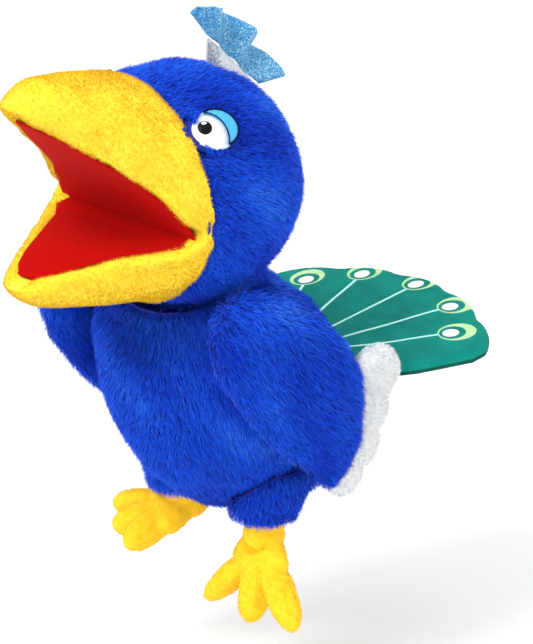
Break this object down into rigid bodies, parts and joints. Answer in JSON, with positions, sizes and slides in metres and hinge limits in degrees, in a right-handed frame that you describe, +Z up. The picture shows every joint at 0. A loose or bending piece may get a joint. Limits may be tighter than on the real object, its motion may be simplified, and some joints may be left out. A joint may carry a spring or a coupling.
{
  "type": "moving mouth puppet",
  "caption": "Bird hand puppet with a hinged plush beak, stuffed head on a sleeve body, two wings, a fan tail and two dangling legs.",
  "frame": {"origin": "centre of the sleeve mouth at the rear of the body, where the hand goes in", "axes": "+Z up, beak towards -Y, the bird's left side at +X"},
  "size_m": [0.2024, 0.3644, 0.4029],
  "materials": {
    "blue_plush": "long soft blue pile, 8 to 12 mm",
    "yellow_plush": "short yellow plush",
    "foot_plush": "short smooth yellow plush",
    "red_felt": "matt red felt",
    "lining_cloth": "smooth dark blue lining cloth",
    "filling": "white polyester fibre filling",
    "stiff_board": "plain stiff board",
    "white_plush": "white plush, 5 mm pile",
    "tail_cloth": "teal short-pile cloth with a printed eyespot pattern",
    "silver_cloth": "silver glitter cloth",
    "blue_ribbon": "metallic light blue pleated ribbon",
    "eye_white": "satin white",
    "eye_black": "gloss black",
    "eyelid_cloth": "light blue satin cloth with a dark edge"
  },
  "bodies": {
    "torso": {"body_skin": "blue_plush", "body_filling": "filling", "body_lining": "lining_cloth", "sleeve_hem": "blue_plush", "left_thigh": "blue_plush", "right_thigh": "blue_plush"},
    "neck": {"neck_lining": "lining_cloth"},
    "head": {"head_skin": "blue_plush", "head_filling": "filling", "left_eye_white": "eye_white", "left_pupil": "eye_black", "left_eyelid": "eyelid_cloth", "right_eye_white": "eye_white", "right_pupil": "eye_black", "right_eyelid": "eyelid_cloth", "upper_beak_skin": "yellow_plush", "upper_beak_filling": "filling", "upper_mouth_lining": "red_felt", "upper_mouth_board": "stiff_board", "finger_pocket": "lining_cloth", "mouth_fold": "red_felt", "crest_fin": "silver_cloth", "crest_ribbon": "blue_ribbon"},
    "jaw": {"lower_beak_skin": "yellow_plush", "lower_beak_filling": "filling", "lower_mouth_lining": "red_felt", "lower_mouth_board": "stiff_board", "thumb_pocket": "lining_cloth"},
    "left_wing": {"left_wing_skin": "blue_plush", "left_wing_filling": "filling", "left_wing_trim": "white_plush"},
    "right_wing": {"right_wing_skin": "blue_plush", "right_wing_filling": "filling", "right_wing_trim": "white_plush"},
    "tail": {"tail_fan": "tail_cloth"},
    "left_leg": {"left_leg": "foot_plush"},
    "left_foot": {"left_foot": "foot_plush"},
    "right_leg": {"right_leg": "foot_plush"},
    "right_foot": {"right_foot": "foot_plush"}
  },
  "joints": [
    {"name": "neck_turn", "type": "hinge", "parent": "torso", "child": "neck", "pos_m": [0, -0.087, 0.1925], "axis": [0, 0, 1], "range_deg": [-25, 25], "deforming": ["neck_lining"]},
    {"name": "head_nod", "type": "hinge", "parent": "neck", "child": "head", "pos_m": [0, -0.087, 0.1925], "axis": [1, 0, 0], "range_deg": [-10, 5]},
    {"name": "mouth", "type": "hinge", "parent": "head", "child": "jaw", "pos_m": [0, -0.128, 0.178], "axis": [-1, 0, 0], "range_deg": [0, 50]},
    {"name": "left_wing_flap", "type": "hinge", "parent": "torso", "child": "left_wing", "pos_m": [0.058, -0.101, 0.144], "axis": [0, -1, 0], "range_deg": [0, 50]},
    {"name": "right_wing_flap", "type": "hinge", "parent": "torso", "child": "right_wing", "pos_m": [-0.058, -0.101, 0.144], "axis": [0, 1, 0], "range_deg": [0, 50]},
    {"name": "tail_lift", "type": "hinge", "parent": "torso", "child": "tail", "pos_m": [0, 0.022, 0.0545], "axis": [1, 0, 0], "range_deg": [-8, 30]},
    {"name": "left_leg_swing", "type": "hinge", "parent": "torso", "child": "left_leg", "pos_m": [0.038, -0.05, -0.028], "axis": [1, 0, 0], "range_deg": [-22, 22]},
    {"name": "left_foot_bend", "type": "hinge", "parent": "left_leg", "child": "left_foot", "pos_m": [0.038, -0.05, -0.041], "axis": [1, 0, 0], "range_deg": [-50, 25]},
    {"name": "right_leg_swing", "type": "hinge", "parent": "torso", "child": "right_leg", "pos_m": [-0.038, -0.05, -0.028], "axis": [1, 0, 0], "range_deg": [-28, 0]},
    {"name": "right_foot_bend", "type": "hinge", "parent": "right_leg", "child": "right_foot", "pos_m": [-0.038, -0.0435, -0.03926], "axis": [0.7986, -0.5212, -0.3009], "range_deg": [0, 75]}
  ]
}
